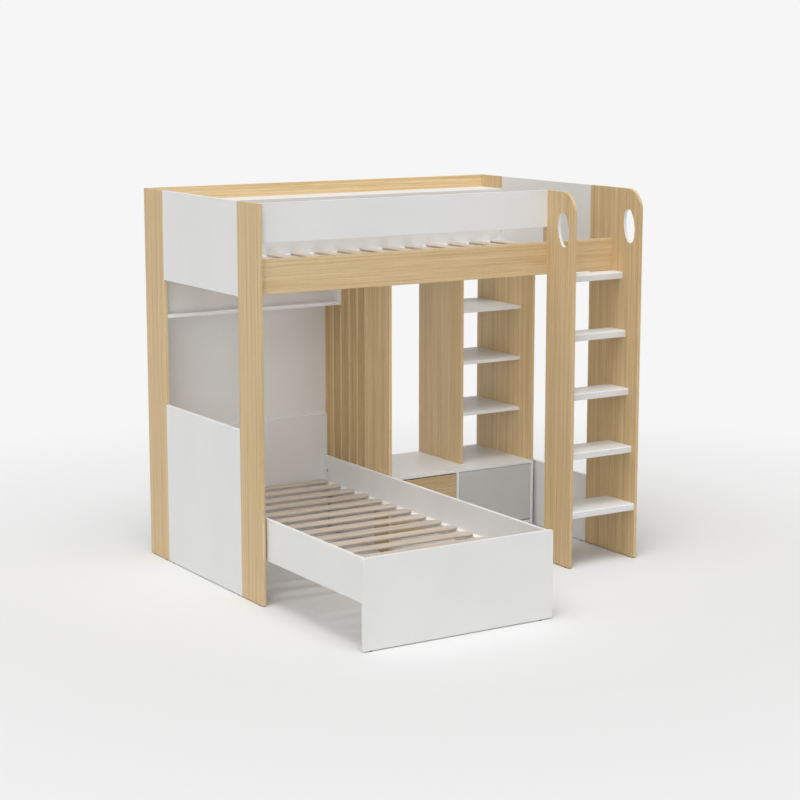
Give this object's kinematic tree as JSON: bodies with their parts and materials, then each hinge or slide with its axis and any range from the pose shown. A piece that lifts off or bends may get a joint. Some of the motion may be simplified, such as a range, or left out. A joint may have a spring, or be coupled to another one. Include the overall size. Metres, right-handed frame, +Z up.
{
  "type": "l shaped bunk bed",
  "caption": "L shaped bunk bed: a high bed with a ladder over a low bed that stands crosswise, beside open shelves, a fin screen and a drawer cabinet.",
  "frame": {"origin": "on the floor, under the middle of the bounding box", "axes": "+Z up; +X along the high bed, from its left end to the ladder end; +Y from the low bed's footboard to the wall"},
  "size_m": [1.97, 2, 1.804],
  "materials": {
    "oak_board": "matt light oak grain board",
    "white_board": "matt white board",
    "grey_board": "matt light grey board",
    "birch": "sanded birch, unlacquered",
    "steel": "zinc plated",
    "black_plastic": "matt"
  },
  "bodies": {
    "bed": {"left_rear_post": "oak_board", "left_front_post": "oak_board", "left_guard_panel": "white_board", "left_base_panel": "white_board", "right_rear_post": "oak_board", "right_guard_panel": "white_board", "right_base_panel": "white_board", "ladder_outer_side": "oak_board", "ladder_inner_side": "oak_board", "ladder_step_1": "white_board", "ladder_step_2": "white_board", "ladder_step_3": "white_board", "ladder_step_4": "white_board", "ladder_step_5": "white_board", "front_side_rail": "oak_board", "front_guard_rail": "white_board", "rear_guard_rail": "oak_board", "ledge_top": "white_board", "ledge_front": "white_board", "ledge_back": "white_board", "box_front": "grey_board", "box_bottom": "white_board", "box_top": "white_board", "box_end": "white_board", "back_panel": "white_board", "high_bed_cleats": "white_board", "high_bed_slats": "birch", "headboard": "white_board", "footboard": "white_board", "low_left_rail": "white_board", "low_right_rail": "white_board", "low_bed_cleats": "white_board", "low_bed_slats": "birch", "screen_post": "oak_board", "screen_fins": "oak_board", "screen_head": "oak_board", "screen_rear_board": "oak_board", "divider_panel": "oak_board", "side_panel": "oak_board", "shelf_1": "white_board", "shelf_2": "white_board", "shelf_3": "white_board", "cabinet_top": "white_board", "cabinet_bottom": "white_board", "cabinet_left_side": "white_board", "cabinet_right_side": "white_board", "cabinet_divider": "white_board", "cabinet_back": "white_board", "cabinet_plinth": "white_board", "cabinet_runners": "steel", "floor_glides": "black_plastic", "dowels": "birch", "cam_locks": "steel", "shelf_pins": "steel"},
    "left_drawer": {"left_drawer_front": "oak_board", "left_drawer_walls": "white_board", "left_drawer_bottom": "white_board", "left_drawer_runners": "steel"},
    "right_drawer": {"right_drawer_front": "grey_board", "right_drawer_walls": "white_board", "right_drawer_bottom": "white_board", "right_drawer_runners": "steel"}
  },
  "joints": [
    {"name": "left_drawer_slide", "type": "slide", "parent": "bed", "child": "left_drawer", "axis": [0, -1, 0], "range_m": [0, 0.34]},
    {"name": "right_drawer_slide", "type": "slide", "parent": "bed", "child": "right_drawer", "axis": [0, -1, 0], "range_m": [0, 0.34]}
  ]
}
